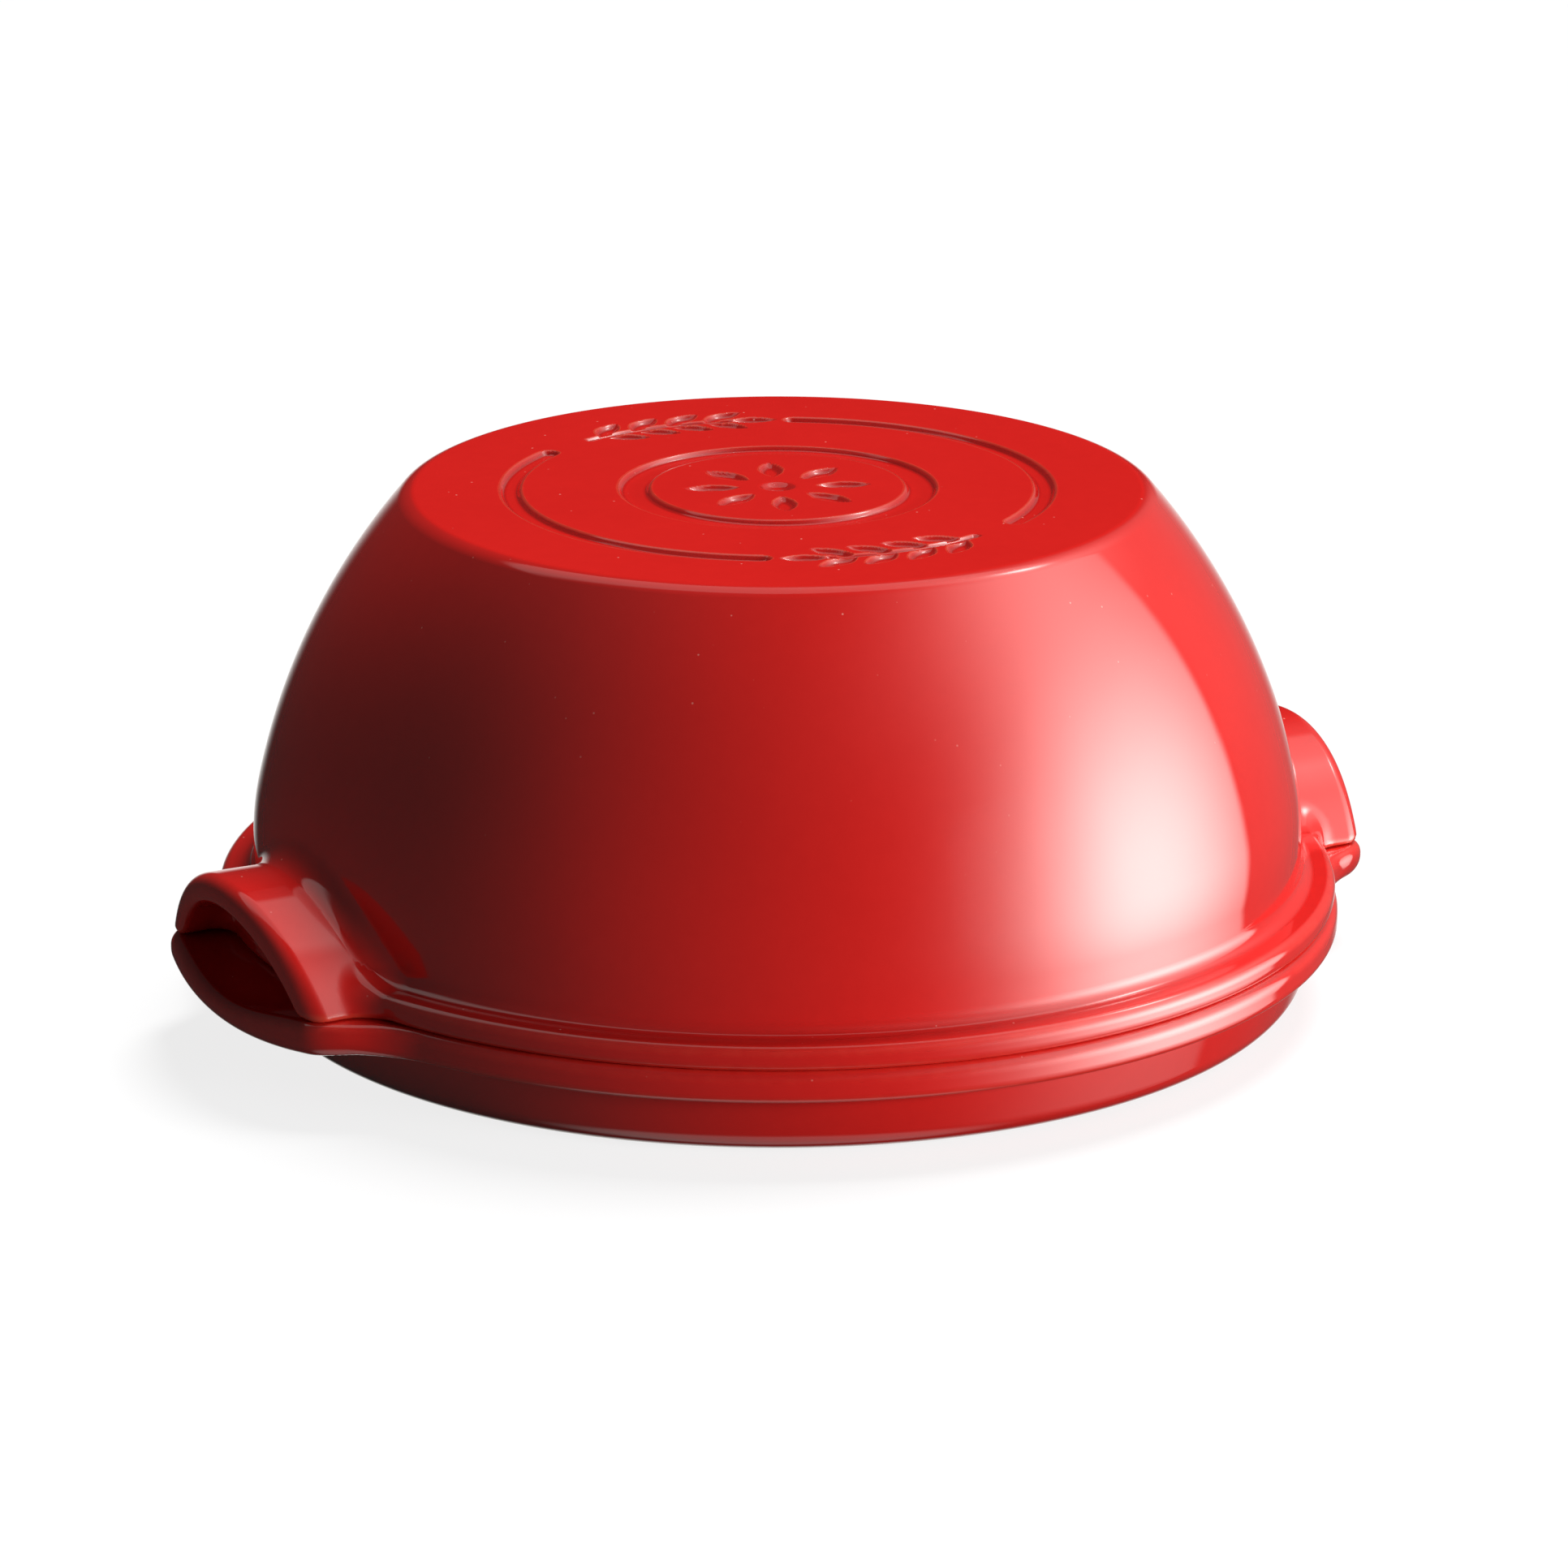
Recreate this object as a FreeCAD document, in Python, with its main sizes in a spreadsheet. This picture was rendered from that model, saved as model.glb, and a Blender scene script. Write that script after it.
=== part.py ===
import FreeCAD, Part
import math
import os
import Sketcher
from FreeCAD import Vector
from types import SimpleNamespace

# A two-piece stoneware bread cloche: a footed dish and a domed lid that lifts straight off it.
# The origin is the centre of the foot, +Z is up and +X runs through the two handles.
# Each handle is a finger opening: an arched hood moulded with the lid over a lip moulded with the dish.

# Driving sizes in millimetres, turns in degrees
DRIVING_SIZES = (
    ("rim_radius", 146.8, "axis to the outside of the rim of the dish"),
    ("seam_height", 24.8, "foot to the flat seat between dish and lid"),
    ("dome_rise", 108.2, "seam to the flat top of the lid"),
    ("ledge_setback", 0.8, "how far the ledge of the lid stays inside the rim of the dish"),
    ("ledge_width", 9.0, "width of the ledge around the dome"),
    ("ledge_height", 6.8, "height of the ledge above the seam"),
    ("ledge_round", 2.4, "rounding of the upper edge of the ledge"),
    ("ledge_cove", 2.0, "hollow where the ledge meets the dome wall"),
    ("seam_round", 1.2, "rounding of the lid edge at the seam"),
    ("bend_rise", 16.5, "seam to where the dome wall starts to lean in"),
    ("bend_radius", 67.0, "tight curve at the bottom of the dome"),
    ("bend_turn", 12.1, "turn taken by the tight curve"),
    ("top_setback", 40.8, "how far the edge of the flat top lies inside the upright wall"),
    ("top_round", 6.2, "rounding of the edge of the flat top"),
    ("lid_wall", 7.5, "thickness of the dome wall"),
    ("crown_wall", 7.5, "thickness of the flat top"),
    ("ceiling_round", 14.0, "rounding inside the dome under the top edge"),
    ("skirt_depth", 4.5, "locating ring below the seam"),
    ("skirt_round", 1.5, "rounding of the lower edge of the locating ring"),
    ("fit_clearance", 0.9, "gap between the locating ring and the dish"),
    ("ring_margin", 25.0, "edge of the flat top to the broken ring"),
    ("outer_ring_width", 4.4, "width of the broken ring on the top"),
    ("outer_ring_sweep", 116.0, "length of each half of the broken ring"),
    ("ring_spacing", 26.2, "broken ring to the whole ring inside it"),
    ("inner_ring_width", 7.0, "width of the whole ring on the top"),
    ("ring_depth", 1.4, "depth of the rings pressed into the top"),
    ("ring_round", 0.6, "rounding of the lips of the rings"),
    ("hood_stand", 14.0, "how far a hood stands out past the ledge"),
    ("arch_half_width", 44.4, "half width of a hood at the seam"),
    ("arch_rise", 25.8, "height of a hood above the seam"),
    ("arch_band", 7.6, "thickness of a hood"),
    ("arch_outer_round", 3.8, "rounding of the outer edge of a hood"),
    ("arch_inner_round", 2.8, "rounding of the inner edge of a hood"),
    ("arch_blend", 6.2, "hollow where a hood meets the dome"),
    ("rim_proud", 1.9, "how far the rim stands out from the dish wall"),
    ("rim_height", 8.0, "height of the rim band below the seam"),
    ("rim_upper_round", 3.0, "rounding of the upper edge of the rim"),
    ("rim_lower_round", 3.6, "rounding of the lower edge of the rim"),
    ("seat_round", 1.5, "rounding of the inner edge of the seat on the dish"),
    ("wall_lean", 8.7, "how far the dish wall leans in from the seam down to the foot"),
    ("dish_wall", 9.0, "thickness of the dish wall at the seam, without its rim"),
    ("foot_width", 21.2, "dish wall to the inside of the foot ring"),
    ("foot_recess", 1.6, "depth of the recess inside the foot ring"),
    ("foot_round", 6.0, "rounding between the dish wall and the foot"),
    ("floor_wall", 7.4, "thickness of the dish floor"),
    ("floor_lean", 6.9, "how far the inside of the dish wall leans in down to the floor"),
    ("floor_round", 9.0, "rounding between the dish floor and wall"),
    ("lip_stand", 14.4, "how far a lip stands out past the rim"),
    ("lip_margin", 3.1, "how far a lip reaches past the flank of its hood"),
    ("lip_edge", 8.2, "thickness of a lip at its two flanks"),
    ("lip_sag", 4.0, "how far the underside of a lip hangs at its middle"),
    ("lip_corner", 9.0, "rounding of the corners of a lip seen from above"),
    ("lip_lower_round", 3.6, "rounding of the lower edge of a lip"),
    ("lip_upper_round", 2.4, "rounding of the upper edge of a lip"),
    ("lip_blend", 5.0, "hollow where a lip meets the dish wall"),
    ("scoop_margin", 10.4, "flank of a hood to the finger scoop in the lip under it"),
    ("scoop_depth", 4.6, "depth of the finger scoop in a lip"),
    ("scoop_round", 16.0, "rounding of the edges of the finger scoop"),
    ("cut_allowance", 6.0, "how far a cut runs past what it removes"),
)


class Size:
    """A number that keeps the sheet expression it comes from."""

    def __init__(self, number, text):
        self.number = number
        self.text = text

    def __add__(self, other):
        return Size(self.number + other.number, "(%s + %s)" % (self.text, other.text))

    def __sub__(self, other):
        return Size(self.number - other.number, "(%s - %s)" % (self.text, other.text))

    def __mul__(self, other):
        return Size(self.number * other.number, "(%s * %s)" % (self.text, other.text))

    def __truediv__(self, other):
        return Size(self.number / other.number, "(%s / %s)" % (self.text, other.text))


ZERO = Size(0.0, "0")
TWO = Size(2.0, "2")
FULL_TURN = Size(360.0, "360")
HORIZONTAL_AXIS, VERTICAL_AXIS = range(-1, -3, -1)
START, END, CENTRE = range(1, 4)
ORIGIN = (HORIZONTAL_AXIS, START)
# How near two lengths are to count as the same
NEAR = 0.01

document = FreeCAD.newDocument("bread_cloche")
sheet = document.addObject("Spreadsheet::Sheet", "Sizes")
S = SimpleNamespace()


def add_size(alias, number, content, meaning):
    """Writes a size to the next row of the sheet and keeps it by its name."""
    row = len(vars(S)) + 1
    sheet.set("A%d" % row, meaning)
    sheet.set("B%d" % row, content)
    sheet.setAlias("B%d" % row, alias)
    setattr(S, alias, Size(number, "Sizes." + alias))


def derive(alias, size, meaning):
    add_size(alias, size.number, "=" + size.text.replace("Sizes.", ""), meaning)


for alias, number, meaning in DRIVING_SIZES:
    add_size(alias, number, str(number), meaning)

# The lid is built up from the rim of the dish inwards, so that the two always fit
derive("lid_rim_radius", S.rim_radius - S.ledge_setback, "outside of the ledge around the lid")
derive("wall_radius", S.lid_rim_radius - S.ledge_width, "outside of the upright part of the dome wall")
derive("top_radius", S.wall_radius - S.top_setback, "edge of the flat top, before its rounding")
derive("bend_height", S.seam_height + S.bend_rise, "foot to where the dome wall starts to lean in")
derive("top_height", S.seam_height + S.dome_rise, "foot to the flat top of the lid")
derive("outer_ring_radius", S.top_radius - S.ring_margin, "outside of the broken ring")
derive(
    "inner_ring_radius",
    S.outer_ring_radius - S.outer_ring_width - S.ring_spacing,
    "outside of the whole ring",
)
derive("arch_reach", S.lid_rim_radius + S.hood_stand, "axis to the outer end of a hood")

# The long flank of the dome leaves the tight bend without a corner and runs to the edge of the top
turn_cos = Size(math.cos(math.radians(S.bend_turn.number)), "cos(Sizes.bend_turn * 1 deg)")
turn_sin = Size(math.sin(math.radians(S.bend_turn.number)), "sin(Sizes.bend_turn * 1 deg)")
derive(
    "flank_run",
    S.wall_radius - S.bend_radius + S.bend_radius * turn_cos - S.top_radius,
    "how far the flank leans in",
)
derive("flank_rise", S.top_height - S.bend_height - S.bend_radius * turn_sin, "how far the flank rises")
derive(
    "flank_radius",
    (S.flank_run * S.flank_run + S.flank_rise * S.flank_rise)
    / (TWO * (S.flank_run * turn_cos - S.flank_rise * turn_sin)),
    "long curve of the dome up to the top",
)

# The dish is built down from its rim, and each lip is sized by the hood that stands on it
derive("wall_top_radius", S.rim_radius - S.rim_proud, "outside of the dish wall carried up to the seam")
derive("wall_foot_radius", S.wall_top_radius - S.wall_lean, "outside of the dish wall carried to the foot")
derive("foot_inner_radius", S.wall_foot_radius - S.foot_width, "inside of the foot ring")
derive("mouth_radius", S.wall_top_radius - S.dish_wall, "inside of the dish at the seam")
derive("floor_radius", S.mouth_radius - S.floor_lean, "inside of the dish wall carried to the floor")
derive("lip_reach", S.rim_radius + S.lip_stand, "axis to the outer end of a lip")
derive("lip_half_width", S.arch_half_width + S.lip_margin, "half width of a lip")
derive("scoop_half_width", S.arch_half_width - S.scoop_margin, "half width of the finger scoop")
document.recompute()


def origin_item(body, role):
    return next(item for item in body.Origin.OriginFeatures if item.Role == role)


def add_sketch(body, name, role):
    sketch = body.newObject("Sketcher::SketchObject", name)
    sketch.AttachmentSupport = [(origin_item(body, role), "")]
    sketch.MapMode = "FlatFace"
    return sketch


def hold(sketch, kind, *picks):
    sketch.addConstraint(Sketcher.Constraint(kind, *picks))


def bind(sketch, kind, picks, size, unit=""):
    number = math.radians(size.number) if unit else size.number
    index = sketch.addConstraint(Sketcher.Constraint(kind, *picks, number))
    sketch.setExpression("Constraints[%d]" % index, size.text + unit)


def place(sketch, item, end, across, up):
    """Puts a point of the sketch at a bound distance across and up from its origin."""
    for kind, axis, size in (("DistanceX", VERTICAL_AXIS, across), ("DistanceY", HORIZONTAL_AXIS, up)):
        if size.number == 0:
            hold(sketch, "PointOnObject", item, end, axis)
        elif size.number > 0:
            bind(sketch, kind, (*ORIGIN, item, end), size)
        else:
            bind(sketch, kind, (item, end, *ORIGIN), ZERO - size)


def arc_between(centre, first, last, turns_left):
    """An arc about a centre from one point to another, and which of its ends is the first point."""
    start, stop = (first, last) if turns_left else (last, first)
    circle = Part.Circle(centre, Vector(0, 0, 1), (start - centre).Length)
    arc = Part.ArcOfCircle(circle, circle.parameter(start), circle.parameter(stop))
    return arc, (START, END) if turns_left else (END, START)


def rounded_outline(sketch, corners):
    """Draws a closed outline through corners given as (across, up, rounding or None)."""
    spots = [Vector(across.number, up.number, 0) for across, up, rounding in corners]
    following = spots[1:] + spots[:1]
    leading = spots[-1:] + spots[:-1]
    arrivals = []
    departures = []
    for spot, before, after, (across, up, rounding) in zip(spots, leading, following, corners):
        to_before = (before - spot).normalize()
        to_after = (after - spot).normalize()
        reach = rounding.number / math.tan(to_before.getAngle(to_after) / 2) if rounding else 0
        arrivals.append(spot + to_before * reach)
        departures.append(spot + to_after * reach)
    sides = []
    for departure, arrival in zip(departures, arrivals[1:] + arrivals[:1]):
        sides.append(sketch.addGeometry(Part.LineSegment(departure, arrival), False))
    for index, (across, up, rounding) in enumerate(corners):
        incoming = sides[index - 1]
        outgoing = sides[index]
        if not rounding:
            hold(sketch, "Coincident", incoming, END, outgoing, START)
            place(sketch, outgoing, START, across, up)
            continue
        spot = spots[index]
        arrival = arrivals[index]
        departure = departures[index]
        bisector = ((arrival - spot) + (departure - spot)).normalize()
        half_angle = (arrival - spot).getAngle(departure - spot) / 2
        centre = spot + bisector * (rounding.number / math.sin(half_angle))
        turns_left = (spot - arrival).cross(departure - spot).z > 0
        curve, (first, last) = arc_between(centre, arrival, departure, turns_left)
        arc = sketch.addGeometry(curve, False)
        corner = sketch.addGeometry(Part.Point(spot), True)
        hold(sketch, "Tangent", incoming, END, arc, first)
        hold(sketch, "Tangent", arc, last, outgoing, START)
        hold(sketch, "PointOnObject", corner, START, incoming)
        hold(sketch, "PointOnObject", corner, START, outgoing)
        place(sketch, corner, START, across, up)
        bind(sketch, "Radius", (arc,), rounding)


def dome_outline(sketch, inset, floor, top):
    """Draws half of the dome section, moved in from the outer face by an inset."""
    wall = S.wall_radius - inset
    bend = S.bend_radius - inset
    flank = S.flank_radius - inset
    turn = math.radians(S.bend_turn.number)
    bend_centre = Vector((wall - bend).number, S.bend_height.number, 0)
    outward = Vector(math.cos(turn), math.sin(turn), 0)
    flank_centre = bend_centre + outward * (bend - flank).number
    lean = math.asin((top.number - flank_centre.y) / flank.number)
    axis_floor = Vector(0, floor.number, 0)
    wall_floor = Vector(wall.number, floor.number, 0)
    bend_start = Vector(wall.number, S.bend_height.number, 0)
    bend_end = bend_centre + outward * bend.number
    shoulder = flank_centre + Vector(math.cos(lean), math.sin(lean), 0) * flank.number
    axis_top = Vector(0, top.number, 0)
    base_line = sketch.addGeometry(Part.LineSegment(axis_floor, wall_floor), False)
    wall_line = sketch.addGeometry(Part.LineSegment(wall_floor, bend_start), False)
    bend_arc = sketch.addGeometry(arc_between(bend_centre, bend_start, bend_end, True)[0], False)
    flank_arc = sketch.addGeometry(arc_between(flank_centre, bend_end, shoulder, True)[0], False)
    top_line = sketch.addGeometry(Part.LineSegment(shoulder, axis_top), False)
    axis_line = sketch.addGeometry(Part.LineSegment(axis_top, axis_floor), False)
    hold(sketch, "Coincident", base_line, END, wall_line, START)
    hold(sketch, "Tangent", wall_line, END, bend_arc, START)
    hold(sketch, "Tangent", bend_arc, END, flank_arc, START)
    hold(sketch, "Coincident", flank_arc, END, top_line, START)
    hold(sketch, "Coincident", top_line, END, axis_line, START)
    hold(sketch, "Coincident", axis_line, END, base_line, START)
    hold(sketch, "Horizontal", base_line)
    hold(sketch, "Vertical", wall_line)
    hold(sketch, "Horizontal", top_line)
    hold(sketch, "PointOnObject", axis_line, START, VERTICAL_AXIS)
    place(sketch, base_line, START, ZERO, floor)
    bind(sketch, "DistanceX", (*ORIGIN, wall_line, START), wall)
    bind(sketch, "DistanceY", (*ORIGIN, wall_line, END), S.bend_height)
    bind(sketch, "DistanceY", (*ORIGIN, top_line, START), top)
    bind(sketch, "Radius", (bend_arc,), bend)
    bind(sketch, "Radius", (flank_arc,), flank)
    bind(sketch, "Angle", (bend_arc,), S.bend_turn, " * 1 deg")


def bow_radius(half_width, rise):
    """Radius of the arc that rises by so much over a chord of twice the half width."""
    return (half_width * half_width + rise * rise) / (TWO * rise)


def arch_outline(sketch):
    """Draws the section of a hood: a band between two arcs about one centre, cut at the seam."""
    outer = bow_radius(S.arch_half_width, S.arch_rise)
    inner = outer - S.arch_band
    seam = S.seam_height.number
    centre = Vector(0, (S.seam_height + S.arch_rise - outer).number, 0)
    inner_half_width = math.sqrt(inner.number ** 2 - (seam - centre.y) ** 2)
    outer_right = Vector(S.arch_half_width.number, seam, 0)
    outer_left = Vector(-S.arch_half_width.number, seam, 0)
    inner_right = Vector(inner_half_width, seam, 0)
    inner_left = Vector(-inner_half_width, seam, 0)
    outer_arc = sketch.addGeometry(arc_between(centre, outer_right, outer_left, True)[0], False)
    inner_arc = sketch.addGeometry(arc_between(centre, inner_right, inner_left, True)[0], False)
    right_line = sketch.addGeometry(Part.LineSegment(outer_right, inner_right), False)
    left_line = sketch.addGeometry(Part.LineSegment(outer_left, inner_left), False)
    hold(sketch, "Coincident", outer_arc, CENTRE, inner_arc, CENTRE)
    hold(sketch, "Coincident", outer_arc, START, right_line, START)
    hold(sketch, "Coincident", inner_arc, START, right_line, END)
    hold(sketch, "Coincident", outer_arc, END, left_line, START)
    hold(sketch, "Coincident", inner_arc, END, left_line, END)
    hold(sketch, "Symmetric", outer_arc, START, outer_arc, END, VERTICAL_AXIS)
    hold(sketch, "Horizontal", right_line)
    hold(sketch, "Horizontal", left_line)
    place(sketch, right_line, START, S.arch_half_width, S.seam_height)
    bind(sketch, "Radius", (outer_arc,), outer)
    bind(sketch, "Radius", (inner_arc,), inner)


def sagging_outline(sketch, half_width, upper, lower, sag):
    """Draws a section with a flat top, upright flanks and an underside that hangs as an arc."""
    radius = bow_radius(half_width, sag)
    centre = Vector(0, (lower - sag + radius).number, 0)
    upper_right = Vector(half_width.number, upper.number, 0)
    upper_left = Vector(-half_width.number, upper.number, 0)
    lower_right = Vector(half_width.number, lower.number, 0)
    lower_left = Vector(-half_width.number, lower.number, 0)
    under_arc = sketch.addGeometry(arc_between(centre, lower_left, lower_right, True)[0], False)
    right_line = sketch.addGeometry(Part.LineSegment(lower_right, upper_right), False)
    top_line = sketch.addGeometry(Part.LineSegment(upper_right, upper_left), False)
    left_line = sketch.addGeometry(Part.LineSegment(upper_left, lower_left), False)
    hold(sketch, "Coincident", under_arc, END, right_line, START)
    hold(sketch, "Coincident", right_line, END, top_line, START)
    hold(sketch, "Coincident", top_line, END, left_line, START)
    hold(sketch, "Coincident", left_line, END, under_arc, START)
    hold(sketch, "Symmetric", top_line, START, top_line, END, VERTICAL_AXIS)
    hold(sketch, "Vertical", right_line)
    hold(sketch, "Vertical", left_line)
    hold(sketch, "Horizontal", under_arc, START, under_arc, END)
    place(sketch, top_line, START, half_width, upper)
    bind(sketch, "DistanceY", (*ORIGIN, right_line, START), lower)
    bind(sketch, "Radius", (under_arc,), radius)


def turn_feature(body, kind, name, sketch, sweep=FULL_TURN):
    """Adds a Revolution or a Groove of a sketch about the Z axis, centred on the sketch's plane."""
    feature = body.newObject("PartDesign::" + kind, name)
    feature.Profile = sketch
    feature.ReferenceAxis = (sketch, ["V_Axis"])
    feature.Midplane = True
    feature.setExpression("Angle", sweep.text)
    document.recompute()
    return feature


def run_through(body, kind, name, sketch, half_length):
    """Adds a Pad or a Pocket of a sketch that runs the same way to both sides of its plane."""
    feature = body.newObject("PartDesign::" + kind, name)
    feature.Profile = sketch
    feature.Midplane = True
    feature.setExpression("Length", (TWO * half_length).text)
    document.recompute()
    return feature


def turned_cut(body, name, corners, sweep=FULL_TURN):
    """Cuts an outline out of the body by turning it about the Z axis."""
    volume = body.Shape.Volume
    sketch = add_sketch(body, name + "_section", "XZ_Plane")
    rounded_outline(sketch, corners)
    feature = turn_feature(body, "Groove", name, sketch, sweep)
    require_smaller(feature, volume)
    return feature


def require_smaller(feature, volume):
    if feature.Shape.Volume >= volume:
        raise RuntimeError(feature.Name + " removed nothing")


def round_edges(body, name, radius, wanted):
    """Rounds the edges of the body's last feature that the given test picks."""
    last = body.Tip
    picked = []
    for index, edge in enumerate(last.Shape.Edges, start=1):
        if wanted(edge):
            picked.append("Edge%d" % index)
    if not picked:
        raise RuntimeError(name + " found no edge")
    fillet = body.newObject("PartDesign::Fillet", name)
    fillet.Base = (last, picked)
    fillet.setExpression("Radius", radius.text)
    document.recompute()
    if not fillet.isValid() or fillet.Shape.isNull() or not fillet.Shape.isValid():
        raise RuntimeError(name + " failed")
    return fillet


def middle(edge):
    return edge.valueAt((edge.FirstParameter + edge.LastParameter) / 2)


def level_ring(edge, height):
    """Whether an edge is part of a level circle at a height."""
    ends = edge.BoundBox
    return abs(ends.ZMin - height) < NEAR and abs(ends.ZMax - height) < NEAR


def make_lid():
    body = document.addObject("PartDesign::Body", "dome_lid")
    body.Label = "dome_lid"
    section = add_sketch(body, "dome_section", "XZ_Plane")
    dome_outline(section, ZERO, S.seam_height, S.top_height)
    turn_feature(body, "Revolution", "dome_blank", section)
    round_edges(body, "top_edge", S.top_round, lambda edge: level_ring(edge, S.top_height.number))

    arch_section = add_sketch(body, "hood_section", "YZ_Plane")
    arch_outline(arch_section)
    half_length = S.arch_reach + S.cut_allowance
    run_through(body, "Pad", "hoods", arch_section, half_length)
    turned_cut(body, "hood_ends", (
        (S.arch_reach, S.seam_height - S.cut_allowance, None),
        (half_length + S.arch_half_width, S.seam_height - S.cut_allowance, None),
        (half_length + S.arch_half_width, S.seam_height + S.arch_rise + S.cut_allowance, None),
        (S.arch_reach, S.seam_height + S.arch_rise + S.cut_allowance, None),
    ))
    arch_radius = bow_radius(S.arch_half_width, S.arch_rise).number
    arch_centre = S.seam_height.number + S.arch_rise.number - arch_radius

    def on_hood_end(edge, radius):
        spot = middle(edge)
        at_end = abs(math.hypot(spot.x, spot.y) - S.arch_reach.number) < NEAR
        return at_end and abs(math.hypot(spot.y, spot.z - arch_centre) - radius) < NEAR

    def on_hood_root(edge):
        spots = [edge.valueAt(edge.FirstParameter), middle(edge), edge.valueAt(edge.LastParameter)]
        on_arch = all(abs(math.hypot(spot.y, spot.z - arch_centre) - arch_radius) < NEAR for spot in spots)
        return on_arch and all(math.hypot(spot.x, spot.y) < S.wall_radius.number + NEAR for spot in spots)

    round_edges(body, "hood_outer_edge", S.arch_outer_round, lambda edge: on_hood_end(edge, arch_radius))
    inner_radius = arch_radius - S.arch_band.number
    round_edges(body, "hood_inner_edge", S.arch_inner_round, lambda edge: on_hood_end(edge, inner_radius))
    round_edges(body, "hood_root", S.arch_blend, on_hood_root)

    rim_section = add_sketch(body, "lid_rim_section", "XZ_Plane")
    cavity_radius = S.wall_radius - S.lid_wall
    skirt_radius = S.mouth_radius - S.fit_clearance
    ledge = S.seam_height + S.ledge_height
    rounded_outline(rim_section, (
        (cavity_radius - S.cut_allowance, S.seam_height - S.skirt_depth, None),
        (skirt_radius, S.seam_height - S.skirt_depth, S.skirt_round),
        (skirt_radius, S.seam_height, None),
        (S.lid_rim_radius, S.seam_height, S.seam_round),
        (S.lid_rim_radius, ledge, S.ledge_round),
        (S.wall_radius, ledge, S.ledge_cove),
        (S.wall_radius, S.bend_height, None),
        (cavity_radius - S.cut_allowance, S.bend_height, None),
    ))
    turn_feature(body, "Revolution", "lid_rim", rim_section)

    volume = body.Shape.Volume
    cavity_section = add_sketch(body, "dome_cavity_section", "XZ_Plane")
    floor = S.seam_height - S.skirt_depth - S.cut_allowance
    dome_outline(cavity_section, S.lid_wall, floor, S.top_height - S.crown_wall)
    cavity = turn_feature(body, "Groove", "dome_cavity", cavity_section)
    require_smaller(cavity, volume)
    ceiling = S.top_height.number - S.crown_wall.number
    round_edges(body, "ceiling_edge", S.ceiling_round, lambda edge: level_ring(edge, ceiling))
    press_rings(body)
    return body


def press_rings(body):
    """Presses a whole ring and two halves of a broken ring into the flat top."""
    top = S.top_height + S.cut_allowance
    floor = S.top_height - S.ring_depth
    inner_edge = S.inner_ring_radius - S.inner_ring_width
    turned_cut(body, "inner_ring", (
        (inner_edge, floor, None),
        (S.inner_ring_radius, floor, None),
        (S.inner_ring_radius, top, None),
        (inner_edge, top, None),
    ))
    outer_edge = S.outer_ring_radius - S.outer_ring_width
    half_ring = turned_cut(body, "outer_half_ring", (
        (outer_edge, floor, None),
        (S.outer_ring_radius, floor, None),
        (S.outer_ring_radius, top, None),
        (outer_edge, top, None),
    ), S.outer_ring_sweep)
    mirror = body.newObject("PartDesign::Mirrored", "outer_ring")
    mirror.Originals = [half_ring]
    mirror.MirrorPlane = (origin_item(body, "YZ_Plane"), [""])
    body.Tip = mirror
    document.recompute()
    top_face_radius = S.outer_ring_radius.number + NEAR

    def on_ring_lip(edge):
        spots = [edge.valueAt(edge.FirstParameter), middle(edge)]
        on_top = all(abs(spot.z - S.top_height.number) < NEAR for spot in spots)
        return on_top and all(math.hypot(spot.x, spot.y) < top_face_radius for spot in spots)

    round_edges(body, "ring_lips", S.ring_round, on_ring_lip)


def make_dish():
    body = document.addObject("PartDesign::Body", "base_dish")
    body.Label = "base_dish"
    section = add_sketch(body, "dish_section", "XZ_Plane")
    rounded_outline(section, (
        (ZERO, S.foot_recess, None),
        (S.foot_inner_radius, S.foot_recess, None),
        (S.foot_inner_radius + S.foot_recess, ZERO, None),
        (S.wall_foot_radius, ZERO, S.foot_round),
        (S.wall_top_radius, S.seam_height, None),
        (ZERO, S.seam_height, None),
    ))
    turn_feature(body, "Revolution", "dish_blank", section)
    add_lips(body)

    rim_section = add_sketch(body, "dish_rim_section", "XZ_Plane")
    rim_foot = S.seam_height - S.rim_height
    rounded_outline(rim_section, (
        (S.mouth_radius - S.cut_allowance, rim_foot, None),
        (S.rim_radius, rim_foot, S.rim_lower_round),
        (S.rim_radius, S.seam_height, S.rim_upper_round),
        (S.mouth_radius - S.cut_allowance, S.seam_height, None),
    ))
    turn_feature(body, "Revolution", "dish_rim", rim_section)
    floor = S.foot_recess + S.floor_wall
    mouth_foot = S.seam_height - S.skirt_depth - S.fit_clearance
    turned_cut(body, "dish_cavity", (
        (ZERO, floor, None),
        (S.floor_radius, floor, S.floor_round),
        (S.mouth_radius, mouth_foot, None),
        (S.mouth_radius, S.seam_height + S.cut_allowance, None),
        (ZERO, S.seam_height + S.cut_allowance, None),
    ))

    def on_seat_edge(edge):
        spot = middle(edge)
        inner = abs(math.hypot(spot.x, spot.y) - S.mouth_radius.number) < NEAR
        return inner and level_ring(edge, S.seam_height.number)

    round_edges(body, "seat_edge", S.seat_round, on_seat_edge)
    return body


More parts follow.
